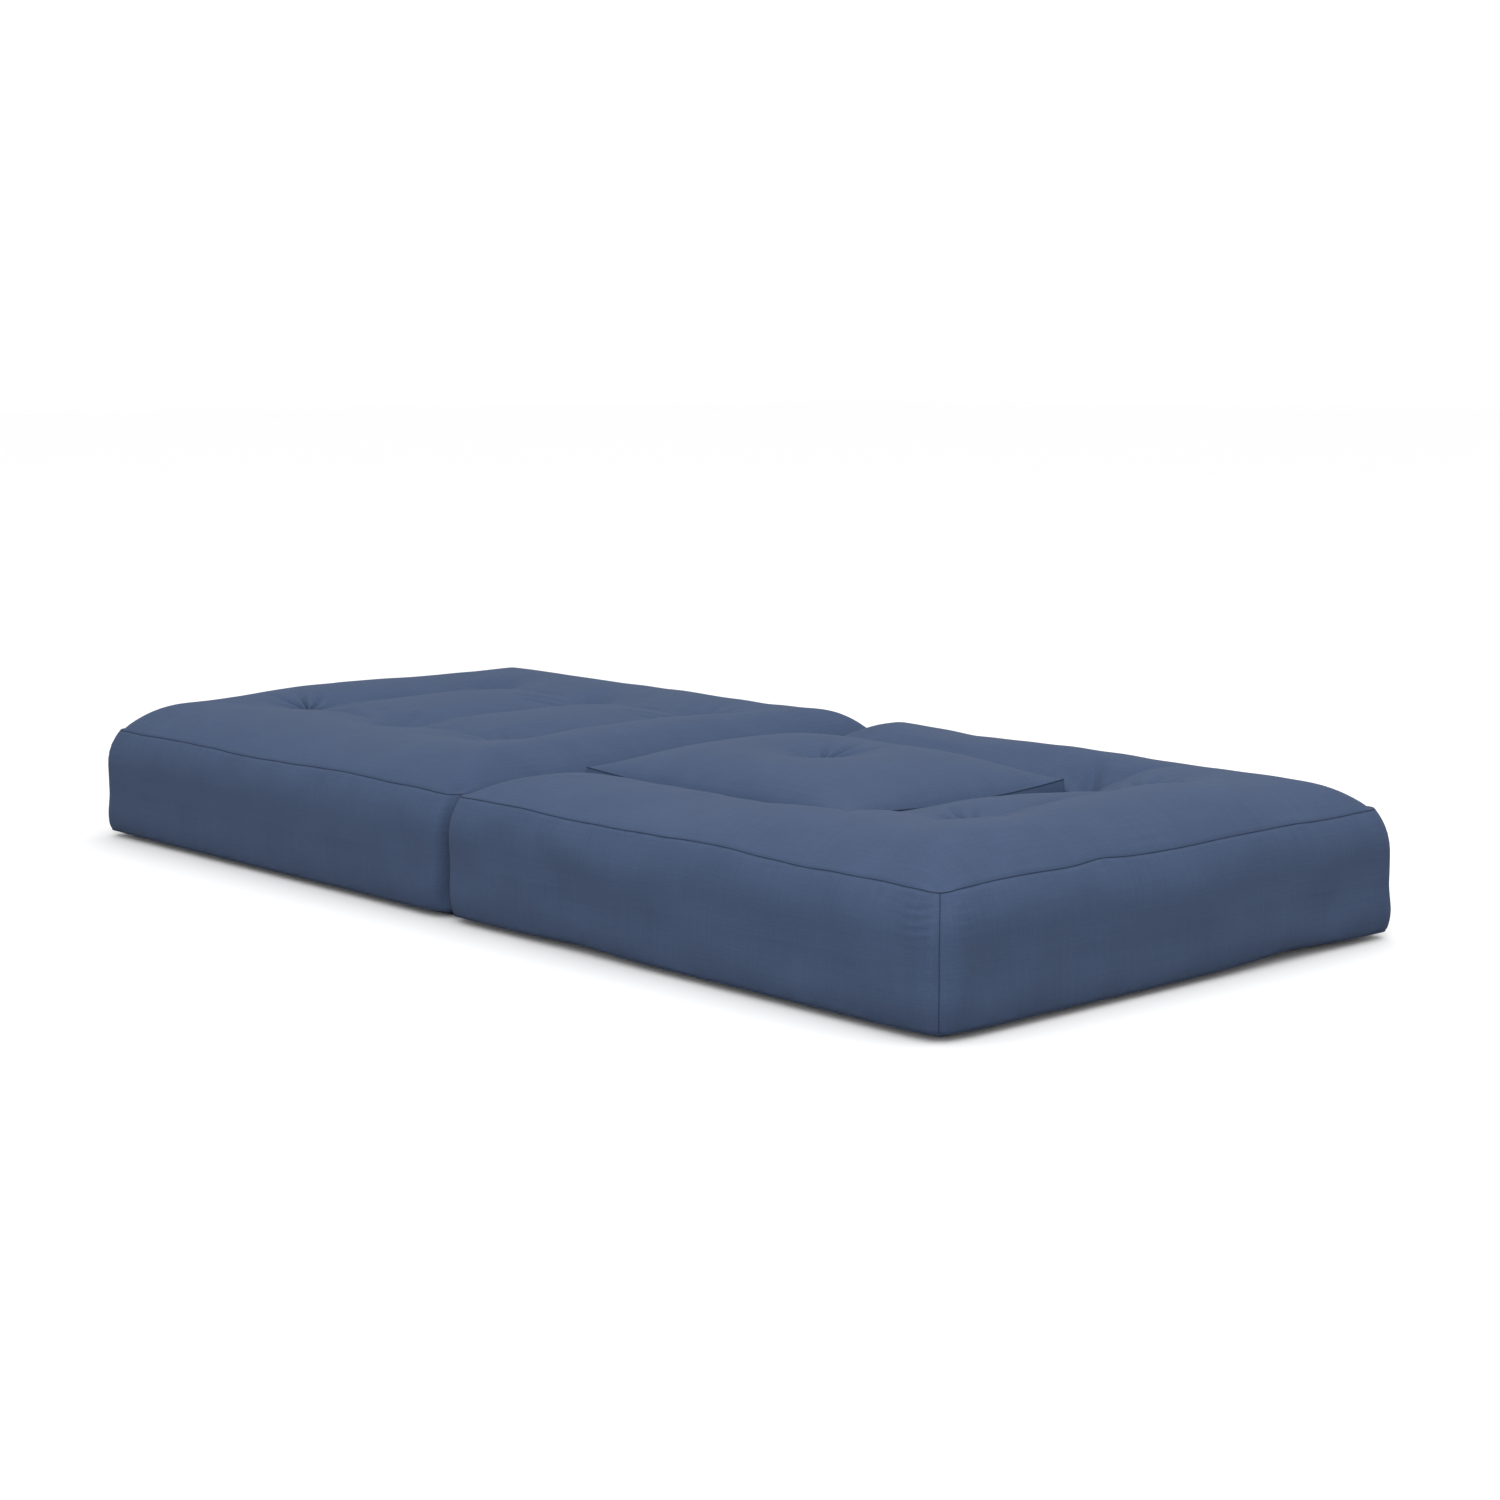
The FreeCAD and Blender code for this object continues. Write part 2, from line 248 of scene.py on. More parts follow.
def smooth(x, low, high):
    """0 at low, 1 at high, with a smooth rise between; low may be above high."""
    t = np.clip((x - low) / (high - low), 0, 1)
    return t * t * (3 - 2 * t)


def fade(away, width, power=2):
    """1 where away is 0, fading to 0 over about that width."""
    return np.exp(-((away / width) ** power))


def spaced(low, high, marks=(), step=MESH_STEP, edge_step=0.0010):
    """Positions from low to high, closer together at both ends and around each mark."""
    fine = np.linspace(low, high, 4001)
    local = np.full_like(fine, step)
    for edge in (low, high):
        local = np.minimum(local, edge_step + 0.25 * np.abs(fine - edge))
    for mark in marks:
        local = np.minimum(local, 0.0020 + 0.06 * np.clip(np.abs(fine - mark) - 0.02, 0, None))
    count = np.concatenate([[0], np.cumsum((fine[1] - fine[0]) / local[:-1])])
    return np.interp(np.linspace(0, count[-1], round(count[-1]) + 1), count, fine)


def round_corners(u, v, half_u, half_v, radius):
    """Moves the corners of a rectangle about the origin onto arcs of that radius."""
    a = np.clip((np.abs(u) - half_u + radius) / radius, 0, 1)
    b = np.clip((np.abs(v) - half_v + radius) / radius, 0, 1)
    out_u = np.minimum(np.abs(u), half_u - radius) + radius * a * np.sqrt(1 - b * b / 2)
    out_v = np.minimum(np.abs(v), half_v - radius) + radius * b * np.sqrt(1 - a * a / 2)
    return np.sign(u) * out_u, np.sign(v) * out_v


def distance_to_segment(u, v, start, end):
    """How far each point is from the straight line between two places."""
    along = np.array(end) - np.array(start)
    t = ((u - start[0]) * along[0] + (v - start[1]) * along[1]) / (along @ along)
    t = np.clip(t, 0, 1)
    return np.hypot(u - start[0] - t * along[0], v - start[1] - t * along[1])


def resample(points, old_u, old_v, new_u, new_v):
    """A grid of points at new rows and columns, by cubic interpolation along each way in turn."""

    def along_first(values, old, new):
        step = old[1] - old[0]
        at = np.clip((new - old[0]) / step, 0, len(old) - 1 - 1e-9)
        i = at.astype(int)
        t = (at - i)[:, None, None]
        padded = np.concatenate([2 * values[:1] - values[1:2], values, 2 * values[-1:] - values[-2:-1]])
        p0, p1, p2, p3 = (padded[i + k] for k in range(4))
        return p1 + 0.5 * t * (
            p2 - p0 + t * (2 * p0 - 5 * p1 + 4 * p2 - p3 + t * (3 * (p1 - p2) + p3 - p0))
        )

    rows = along_first(points, old_u, new_u)
    return along_first(rows.swapaxes(0, 1), old_v, new_v).swapaxes(0, 1)


def grid_normals(points):
    """Unit normals of a grid of points; the grid's first axis crossed with its second points out."""
    across = np.cross(np.gradient(points, axis=0), np.gradient(points, axis=1))
    return across / np.maximum(np.linalg.norm(across, axis=-1), 1e-12)[..., None]


def add_mesh(name, points, faces, cloth=None, flip=False):
    """A mesh object; cloth holds each point's place on the cloth, in metres, for the weave."""
    if flip:
        faces = faces[:, ::-1]
    mesh = bpy.data.meshes.new(name)
    mesh.from_pydata(points.reshape(-1, 3).tolist(), [], faces.tolist())
    mesh.polygons.foreach_set("use_smooth", np.ones(len(mesh.polygons), bool))
    if cloth is not None:
        place = mesh.attributes.new("cloth", "FLOAT_VECTOR", "POINT")
        flat = np.zeros((len(mesh.vertices), 3), np.float32)
        flat[:, :2] = cloth.reshape(-1, 2)
        place.data.foreach_set("vector", flat.ravel())
    mesh.update()
    piece = bpy.data.objects.new(name, mesh)
    bpy.context.scene.collection.objects.link(piece)
    return piece


def grid_faces(rows, columns, ring=False, loop=False):
    """Quads of a grid; its second axis closes on itself in a ring, its first in a loop."""
    index = np.arange(rows * columns).reshape(rows, columns)
    if ring:
        index = np.concatenate([index, index[:, :1]], axis=1)
    if loop:
        index = np.concatenate([index, index[:1]])
    corners = (index[:-1, :-1], index[1:, :-1], index[1:, 1:], index[:-1, 1:])
    return np.stack(corners, -1).reshape(-1, 4)


def add_sheet(name, points, cloth, flip=False):
    """A mesh object from a grid of points."""
    return add_mesh(name, points, grid_faces(*points.shape[:2]), cloth, flip)


def path_length(line):
    """The distance along a line of points, from its first to each of them."""
    return np.concatenate([[0], np.cumsum(np.linalg.norm(np.diff(line, axis=0), axis=1))])


def add_tube(name, lines, radius, sides=6, closed=True):
    """Round cords along lists of points, as one piece."""
    points, faces, places = [], [], []
    start = 0
    for line in lines:
        line = np.asarray(line, float)
        ahead = np.roll(line, -1, 0) - np.roll(line, 1, 0) if closed else np.gradient(line, axis=0)
        ahead /= np.linalg.norm(ahead, axis=1)[:, None]
        helper = np.where(np.abs(ahead[:, 2:]) < 0.9, [[0.0, 0.0, 1.0]], [[1.0, 0.0, 0.0]])
        side = np.cross(ahead, helper)
        side /= np.linalg.norm(side, axis=1)[:, None]
        up = np.cross(side, ahead)
        angle = np.arange(sides) * 2 * math.pi / sides
        ring = (
            line[:, None]
            + radius * np.cos(angle)[None, :, None] * side[:, None]
            + radius * np.sin(angle)[None, :, None] * up[:, None]
        )
        around = grid_faces(len(line), sides, ring=True, loop=closed)
        length = path_length(line)
        place = np.stack(np.broadcast_arrays(length[:, None], angle[None] * radius), -1)
        points.append(ring.reshape(-1, 3))
        places.append(place.reshape(-1, 2))
        faces.append(around + start)
        start += len(line) * sides
    return add_mesh(name, np.concatenate(points), np.concatenate(faces), np.concatenate(places))


def simulate(points, held, loose, frames=20, slack=0.03, stiffness=15.0, bending=0.5):
    """Relaxes a grid of points as cloth over soft filling; held points stay where they are.

    loose is 1 where the cloth has all of the slack and 0 where it is cut to the surface. No point
    moves further than MOST_MOVEMENT.
    """
    sheet = add_sheet("cloth_being_made", points, points[..., :2])
    group = sheet.vertex_groups.new(name="held")
    group.add(np.flatnonzero(held.ravel()).tolist(), 1.0, "REPLACE")
    gathered = sheet.vertex_groups.new(name="gathered")
    for number, share in enumerate(loose.ravel()):
        if share > 0.01:
            gathered.add([number], float(share), "REPLACE")
    cloth = sheet.modifiers.new("cloth", "CLOTH")
    settings = cloth.settings
    settings.quality = 5
    settings.mass = 0.3
    settings.tension_stiffness = stiffness
    settings.compression_stiffness = stiffness
    settings.shear_stiffness = stiffness / 3
    settings.bending_stiffness = bending
    settings.vertex_group_mass = "held"
    settings.use_pressure = True
    settings.uniform_pressure_force = PRESSURE
    settings.vertex_group_shrink = "gathered"
    settings.shrink_min = 0
    settings.shrink_max = -slack
    settings.effector_weights.gravity = 0
    cloth.collision_settings.use_collision = False
    cloth.collision_settings.use_self_collision = False
    cloth.point_cache.frame_start = 1
    cloth.point_cache.frame_end = frames
    scene = bpy.context.scene
    scene.frame_end = frames
    for number in range(1, frames + 1):
        scene.frame_set(number)
    shown = sheet.evaluated_get(bpy.context.evaluated_depsgraph_get())
    flat = np.zeros(len(shown.data.vertices) * 3, np.float32)
    shown.data.vertices.foreach_get("co", flat)
    mesh = sheet.data
    bpy.data.objects.remove(sheet)
    bpy.data.meshes.remove(mesh)
    scene.frame_set(1)
    return capped(flat.reshape(points.shape).astype(float), points, MOST_MOVEMENT)


def capped(moved, start, limit):
    """The moved points, none further than limit from where they started."""
    step = moved - start
    length = np.linalg.norm(step, axis=-1, keepdims=True)
    return start + step * np.minimum(1, limit / np.maximum(length, 1e-9))


# ---------------------------------------------------------------- materials


def make_cloth_material(name, colour, thread=0.0011):
    """Plain-woven cotton: crossing threads, thick and thin slubs, faded patches and a soft nap."""
    material = bpy.data.materials.new(name)
    material.use_nodes = True
    nodes, links = material.node_tree.nodes, material.node_tree.links
    shader = nodes["Principled BSDF"]
    shader.inputs["Sheen Weight"].default_value = 0.02
    shader.inputs["Sheen Roughness"].default_value = 0.55
    shader.inputs["Specular IOR Level"].default_value = 0.06
    place = nodes.new("ShaderNodeAttribute")
    place.attribute_name = "cloth"

    def math_node(kind, first, second=None, third=None):
        node = nodes.new("ShaderNodeMath")
        node.operation = kind
        for socket, value in zip(node.inputs, (first, second, third)):
            if isinstance(value, (int, float)):
                socket.default_value = value
            elif value is not None:
                links.new(value, socket)
        return node.outputs[0]

    def noise(scale, stretch, detail):
        mapping = nodes.new("ShaderNodeMapping")
        mapping.inputs["Scale"].default_value = stretch
        links.new(place.outputs["Vector"], mapping.inputs["Vector"])
        texture = nodes.new("ShaderNodeTexNoise")
        texture.inputs["Scale"].default_value = scale
        texture.inputs["Detail"].default_value = detail
        links.new(mapping.outputs["Vector"], texture.inputs["Vector"])
        return texture.outputs["Fac"]

    def threads(axis):
        split = nodes.new("ShaderNodeSeparateXYZ")
        links.new(place.outputs["Vector"], split.inputs["Vector"])
        turned = math_node("MULTIPLY", split.outputs[axis], 2 * math.pi / thread)
        return math_node("SINE", turned)

    warp, weft = threads("X"), threads("Y")
    over = math_node("MULTIPLY", warp, weft)
    weave = math_node("MULTIPLY_ADD", over, 0.5, 0.5)
    slub_weft = noise(90.0, (0.10, 3.2, 1.0), 2.0)
    slub_warp = noise(90.0, (3.2, 0.10, 1.0), 2.0)
    slubs = math_node("ADD", slub_weft, slub_warp)
    mottle = noise(16.0, (1.0, 1.0, 1.0), 4.0)
    fine = noise(420.0, (1.0, 1.0, 1.0), 2.0)

    shade = math_node("MULTIPLY_ADD", slubs, SLUB_SHADE, 1 - SLUB_SHADE)
    patch = math_node("MULTIPLY_ADD", mottle, PATCH_SHADE, 1 - PATCH_SHADE / 2)
    grain = math_node("MULTIPLY_ADD", weave, WEAVE_SHADE, 1 - WEAVE_SHADE / 2)
    fleck = math_node("MULTIPLY_ADD", fine, FLECK_SHADE, 1 - FLECK_SHADE / 2)
    total = math_node("MULTIPLY", math_node("MULTIPLY", shade, patch), math_node("MULTIPLY", grain, fleck))
    tint = nodes.new("ShaderNodeMix")
    tint.data_type = "RGBA"
    tint.blend_type = "MULTIPLY"
    tint.inputs["Factor"].default_value = 1.0
    tint.inputs["A"].default_value = (*colour, 1.0)
    links.new(total, tint.inputs["B"])
    links.new(tint.outputs["Result"], shader.inputs["Base Color"])

    rough = nodes.new("ShaderNodeMapRange")
    rough.inputs["To Min"].default_value = 0.78
    rough.inputs["To Max"].default_value = 0.95
    links.new(mottle, rough.inputs["Value"])
    links.new(rough.outputs["Result"], shader.inputs["Roughness"])

    height = math_node("ADD", math_node("MULTIPLY", weave, 0.6), math_node("MULTIPLY", slubs, 0.9))
    bump = nodes.new("ShaderNodeBump")
    bump.inputs["Strength"].default_value = 0.35
    bump.inputs["Distance"].default_value = 0.0006
    links.new(height, bump.inputs["Height"])
    links.new(bump.outputs["Normal"], shader.inputs["Normal"])
    return material


CLOTH = make_cloth_material("navy_cotton", NAVY)
# The seam cloth is the navy cotton darkened, a painted shade for the shadow in the seams' grooves.
SEAM_CLOTH_PAINTED_SHADE = make_cloth_material("navy_seam_painted_shade", tuple(c * SEAM_PAINTED_SHADE for c in NAVY))
TWINE = make_cloth_material("tuft_twine", tuple(c * TWINE_SHADE for c in NAVY), thread=0.0006)


def dress(piece, material, body=None):
    """Gives a piece its material, slot and body; a piece with no body is left without a parent."""
    piece.data.materials.append(material)
    if body:
        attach(piece, body)
    return piece


# ---------------------------------------------------------------- a block's surfaces


def loosen(points):
    """Uneven moves that every cover shares, so that seams stay closed: waves, spread feet and tugs.

    The waves die out at the floor and are small beside the joint.
    """
    free = smooth(points[..., 2], 0.0, 0.05)[..., None]
    from_joint = smooth(np.abs(points[..., :1]), 0.0, 0.15)
    wide_size, wide_length = WIDE_WAVES
    small_size, small_length = SMALL_WAVES
    wide = np.stack([ripple(points, seed, wide_length) for seed in (11, 12, 13)], -1)
    small = np.stack([ripple(points, seed, small_length) for seed in (14, 15, 16)], -1)
    moved = points + free * (wide_size * wide * (0.25 + 0.75 * from_joint) + small_size * small)
    foot = FLARE * smooth(points[..., 2], FLARE_HEIGHT, 0.0)
    for axis, reach in ((0, BLOCK_END), (1, HALF_WIDTH)):
        place = points[..., axis]
        moved[..., axis] += foot * smooth(np.abs(place), reach - FLARE_DEPTH, reach) * np.sign(place)
    for place, reach, move in TUGS:
        away = np.linalg.norm((points - place) / reach, axis=-1)
        near = fade(away, 1) * (points[..., 0] * place[0] > 0)
        moved += near[..., None] * np.array(move)
    return moved


def fold_sag(u, v):
    """How far the fold block's rim has settled below its full height."""
    return FOLD_SAG * smooth(-v, 0.1, 0.34) * smooth(u, 0.12, 0.30)


def seat_sag(u, v):
    """How far the seat block's rim has settled, most where people sit down."""
    near_share = 1 - 0.62 * smooth(u, 0.42, 0.66) - 0.38 * smooth(u, 0.78, 0.92)
    near = SEAT_NEAR_SAG * smooth(-v, 0.1, 0.34) * near_share
    far_share = 0.55 + 0.45 * fade(u - 0.28, 0.2) + 0.5 * smooth(u, 0.5, 0.8)
    far = SEAT_FAR_SAG * smooth(v, 0.1, 0.34) * far_share
    beside_cushion = BESIDE_CUSHION_SAG * fade(u - 0.65, 0.065) * smooth(np.abs(v), 0.31, 0.16)
    return near + far + beside_cushion


class Block:
    """What differs between the two blocks."""

    def __init__(self, name, sign, tufts, column_depths, sag, rims, seed):
        self.name = name
        self.body = name + "_block"
        self.sign = sign  # which side of the joint it lies on
        self.tufts = tufts
        self.column_depths = column_depths  # the dip between the two tufts of each column
        self.sag = sag
        self.joint_rim, self.end_rim = rims  # widths of its rims beside the joint and at its end
        self.seed = seed
        self.has_pocket = name == "seat"

    def rim_height(self, u, v):
        """Height of the padded top above its seams before it is tufted; u and v are from the joint."""
        distances = (
            (u - JOINT_GAP) / self.joint_rim,
            (BLOCK_END - u) / self.end_rim,
            (HALF_WIDTH - np.abs(v)) / RIM_WIDTH,
        )
        slopes = [np.clip(1 - distance, 0, 1) ** (RIM_POWER * CORNER_POWER) for distance in distances]
        fallen = sum(slopes) ** (1 / CORNER_POWER)
        inside = smooth(np.minimum(u, BLOCK_END - u), RIM_WIDTH, 2 * RIM_WIDTH)
        inside = inside * smooth(HALF_WIDTH - np.abs(v), RIM_WIDTH, 2 * RIM_WIDTH)
        return (CROWN_RISE - self.sag(u, v)) * np.clip(1 - fallen, 0, None) - FIELD_SAG * inside

    def tufted_height(self, u, v):
        """Height of the tufted top above its seams."""
        valley = np.zeros_like(u)
        for start, end, depth in tuft_segments(self.tufts, self.column_depths):
            away = distance_to_segment(u, v, start, end)
            valley = np.maximum(valley, depth * fade(away, VALLEY_WIDTH, VALLEY_POWER))
        dips = np.zeros_like(u)
        for at_u, at_v, depth, *_ in self.tufts:
            dip = depth * fade(np.hypot(u - at_u, v - at_v), TUFT_WIDTH, TUFT_POWER)
            dips = np.maximum(dips, dip)
        return self.rim_height(u, v) - np.maximum(dips, valley) - SHARED_DIP * np.minimum(dips, valley)


FOLD = Block("fold", -1, FOLD_TUFTS, (0.020, 0.021, 0.017), fold_sag, (0.085, 0.085), 100)
SEAT = Block("seat", 1, SEAT_TUFTS, (0.020, 0.020, 0.017), seat_sag, (0.150, 0.110), 200)


def tuft_segments(tufts, column_depths):
    """The lines of pulled cloth between neighbouring tufts, and how deep each lies."""
    places = [tuft[:2] for tuft in tufts]
    columns = list(zip(places[::2], places[1::2], column_depths))
    rows = [(a, b, ROW_DEPTH) for a, b in zip(places, places[2:])]
    return rows + columns


def pocket_distance(u, v):
    """How far a point is outside the pocket, which is stretched wider at one outer corner."""
    out_u = np.where(u > CUSHION_MIDDLE_U, u - CUSHION_MIDDLE_U - CUSHION_HALF_U, -np.inf)
    stretched = POCKET_STRETCH * fade(np.hypot(u - 0.588, v - 0.22), 0.06)
    return np.maximum(out_u, np.abs(v) - CUSHION_HALF_V) - POCKET_MARGIN - stretched


def pocket_corner_drop(u, v):
    """How much lower the pocket's edge lies around its stretched corner."""
    return POCKET_DROP * fade(np.hypot(u - 0.600, v - 0.235), 0.075)


def pocket_crease(u, v):
    """Depth of the fold of cloth that runs out from the pocket's stretched corner."""
    start, end = POCKET_CREASE
    away = distance_to_segment(u, v, start, end)
    along = np.hypot(u - start[0], v - start[1]) / math.dist(start, end)
    return CREASE_DEPTH * fade(away, 0.012, 1.5) * smooth(along, 1.1, 0.0)


def gather(points, normals, plan, tufts, seed):
    """Pleats that fan out from each tuft, with soft ridges and sharp creases."""
    rng = np.random.default_rng(seed)
    moved = points.copy()
    for at_u, at_v, _, amount, toward in tufts:
        off_u, off_v = plan[..., 0] - at_u, plan[..., 1] - at_v
        away = np.hypot(off_u, off_v)
        angle = np.arctan2(off_v, off_u)
        count = int(rng.integers(*PLEAT_COUNTS))
        phase, lean = rng.uniform(0, 2 * math.pi, 2)
        facing = 0.5 + 0.5 * np.cos(angle - toward)
        reach = PLEAT_REACH + PLEAT_LONGER_REACH * facing**2
        turn = count * angle + phase + 1.3 * np.sin(2 * angle + lean) + 9 * away
        pleat = 1.3 * np.abs(np.sin(turn / 2)) ** 0.7 - 0.9
        size = smooth(away, 0.003, 0.016) * smooth(away, 0.12, 0.05) * np.exp(-away / reach)
        size *= 0.25 + 0.75 * facing**2
        moved += normals * (PLEAT_HEIGHT * amount * size * pleat)[..., None]
    return moved


def near_tufts(u, v, tufts):
    """1 at the tufts, fading to 0 away from them."""
    near = np.zeros_like(u)
    for at_u, at_v, *_ in tufts:
        near = np.maximum(near, fade(np.hypot(u - at_u, v - at_v), LOOSE_WIDTH))
    return near


def held_edges(shape):
    """Marks the outer rows and columns of a grid."""
    held = np.zeros(shape, bool)
    held[0] = held[-1] = True
    held[:, 0] = held[:, -1] = True
    return held


def press_pocket(height, u, v):
    """Settles a top's height towards the pocket, over a longer way beyond its stretched corner."""
    outside = pocket_distance(u, v)
    beyond = fade(np.hypot(u - 0.64, v - 0.14), 0.16)
    pressed = smooth(outside / (PRESSED_REACH + 0.10 * beyond), 1.0, 0.0)
    edge_height = POCKET_EDGE - TOP_SEAM - pocket_corner_drop(u, v)
    return height * (1 - pressed) + np.minimum(height, edge_height) * pressed


def top_cover(block):
    """The tufted top of a block, as simulated cloth over its filling."""
    tufts = block.tufts
    old_u = np.linspace(-HALF_LENGTH, HALF_LENGTH, round(2 * HALF_LENGTH / CLOTH_STEP) + 1)
    old_v = np.linspace(-HALF_WIDTH, HALF_WIDTH, round(2 * HALF_WIDTH / CLOTH_STEP) + 1)
    flat_u, flat_v = np.meshgrid(old_u, old_v, indexing="ij")
    round_u, round_v = round_corners(flat_u, flat_v, HALF_LENGTH, HALF_WIDTH, CORNER_RADIUS)
    block_u = flat_u + BLOCK_MIDDLE
    height = block.tufted_height(block_u, flat_v)
    held = held_edges(height.shape)
    for at_u, at_v, *_ in tufts:
        held |= np.hypot(block_u - at_u, flat_v - at_v) < TIED_RADIUS
    if block.has_pocket:
        height = press_pocket(height, block_u, flat_v)
        held |= pocket_distance(block_u, flat_v) < 0.002
    points = np.stack([round_u + BLOCK_MIDDLE, round_v, TOP_SEAM + height], -1)
    points = simulate(points, held, near_tufts(block_u, flat_v, tufts))
    new_u = spaced(-HALF_LENGTH, HALF_LENGTH, [tuft[0] - BLOCK_MIDDLE for tuft in tufts[::2]])
    new_v = spaced(-HALF_WIDTH, HALF_WIDTH, [tuft[1] for tuft in tufts[:2]])
    points = resample(points, old_u, old_v, new_u, new_v)
    plan = np.stack(np.meshgrid(new_u + BLOCK_MIDDLE, new_v, indexing="ij"), -1)
    points = gather(points, grid_normals(points), plan, tufts, block.seed)
    if block.has_pocket:
        points[..., 2] -= pocket_crease(plan[..., 0], plan[..., 1])
        inside = smooth(pocket_distance(plan[..., 0], plan[..., 1]), 0.0, -POCKET_WALL)
        points[..., 2] += (POCKET_FLOOR - 0.002 - points[..., 2]) * inside
    from_ends = np.minimum(plan[..., 0] - JOINT_GAP, BLOCK_END - plan[..., 0])
    edge = np.minimum(from_ends, HALF_WIDTH - np.abs(plan[..., 1]))
    points = tuck_edge(points, edge)
    points[..., 0] *= block.sign
    return add_sheet(block.name + "_top_cover", loosen(points), plan, flip=block.sign < 0)


def tuck_edge(points, edge):
    """Draws a cover in a little at its seam, away from the side or the two sides it is nearest to."""
    centre = np.array([BLOCK_MIDDLE, 0.0])
    tuck = SEAM_TUCK * fade(edge, SEAM_TUCK_WIDTH)
    inward = centre - points[..., :2]
    half = np.array([HALF_LENGTH, HALF_WIDTH])
    weight = np.abs(inward) / half
    inward = np.sign(inward) * (weight > weight.max(-1, keepdims=True) * 0.97)
    inward /= np.maximum(np.linalg.norm(inward, axis=-1, keepdims=True), 1e-9)
    moved = points.copy()
    moved[..., :2] += inward * tuck[..., None]
    return moved


def side_arch(share):
    """Outward bulge of a side from its bottom seam, 0, to its top seam, 1; fuller towards the top."""
    below = 1 - (1 - np.clip(share / 0.45, 0, 1)) ** 2
    above = 1 - (1 - np.clip((1 - share) / 0.38, 0, 1)) ** 2.4
    return below * above


def side_bulge(outward, share):
    """How far a side stands out, by the outward direction along it and the share of its height."""
    swell = SIDE_BULGE * (outward[:, 1] ** 2 + np.clip(outward[:, 0], 0, 1) ** 2)
    toward_joint = np.clip(-outward[:, 0], 0, 1) ** 2
    return swell[:, None] * side_arch(share)[None] - JOINT_LEAN * toward_joint[:, None] * (1 - share[None])


def corner_gathers(along, high, amount):
    """Short level wrinkles beside a corner seam, in the upper part of a side."""
    zone = smooth(along, 0.0, 0.008) * fade(along, 0.042) * smooth(high, 0.105, 0.165)
    wave = np.sin(2 * math.pi * (high + 0.12 * along) / 0.0125 + 2.5 * np.sin(70 * along))
    return amount * zone * smooth(TOP_SEAM - high, 0.0, 0.012) * wave


def side_path(side):
    """Points along one side between its corner seams, and the outward direction at each.

    The front and the back wrap round into the joint, so that no seam shows there.
    """
    half = np.array([HALF_LENGTH, HALF_WIDTH])
    turn = {"end": 0, "back": 1, "joint": 2, "front": 3}[side]
    run = half[1] if turn % 2 == 0 else half[0]
    reach = half[0] if turn % 2 == 0 else half[1]
    r = CORNER_RADIUS
    first_angles, last_angles = (
        np.radians(np.linspace(0, arc, arc // 7 + 1)[1:]) for arc in CORNER_ARCS[side]
    )
    straight = spaced(-run + r, run - r, step=MESH_STEP * 1.3, edge_step=0.003)
    first = [(-run + r - r * math.sin(a), reach - r + r * math.cos(a), -a) for a in first_angles[::-1]]
    last = [(run - r + r * math.sin(a), reach - r + r * math.cos(a), a) for a in last_angles]
    middle = [(s, reach, 0.0) for s in straight]
    along = np.array(first + middle + last)
    position = np.stack([along[:, 1], along[:, 0]], -1)
    outward = np.stack([np.cos(along[:, 2]), np.sin(along[:, 2])], -1)
    c, s = math.cos(turn * math.pi / 2), math.sin(turn * math.pi / 2)
    rotate = np.array([[c, s], [-s, c]])
    return position @ rotate + [BLOCK_MIDDLE, 0.0], outward @ rotate


def side_cover(name, sign, side, seed, corner_wrinkles):
    """One wall of a block, from seam to seam and from corner seam to corner seam."""
    path, outward = side_path(side)
    levels = spaced(BOTTOM_SEAM, TOP_SEAM, step=0.0035)
    share = (levels - BOTTOM_SEAM) / (TOP_SEAM - BOTTOM_SEAM)
    bulge = side_bulge(outward, share)
    length = path_length(path)
    for end_distance, amount in zip((length, length[-1] - length), corner_wrinkles):
        bulge = bulge + corner_gathers(end_distance[:, None], levels[None], amount)
    seam_distance = np.minimum(levels - BOTTOM_SEAM, TOP_SEAM - levels)[None]
    corner_distance = np.minimum(length, length[-1] - length)[:, None]
    bulge = bulge - SEAM_TUCK * fade(seam_distance, SEAM_TUCK_WIDTH)
    bulge = bulge - CORNER_TUCK * fade(corner_distance, SEAM_TUCK_WIDTH)
    points = np.zeros((len(path), len(levels), 3))
    points[..., :2] = path[:, None] + outward[:, None] * bulge[..., None]
    points[..., 2] = levels[None]
    pucker = ripple(points, seed, 0.022) * np.exp(-seam_distance / 0.010) * smooth(seam_distance, 0, 0.003)
    pucker = pucker * smooth(corner_distance, 0.0, 0.010)
    soft = ripple(points, seed + 1, 0.16) * side_arch(share)[None] * smooth(corner_distance, 0.0, 0.050)
    points[..., :2] += outward[:, None] * (PUCKER * pucker + SOFT_RIPPLE * soft)[..., None]
    cloth = np.stack(np.broadcast_arrays(length[:, None], levels[None]), -1)
    points[..., 0] *= sign
    return add_sheet(name, loosen(points), cloth, flip=sign < 0)


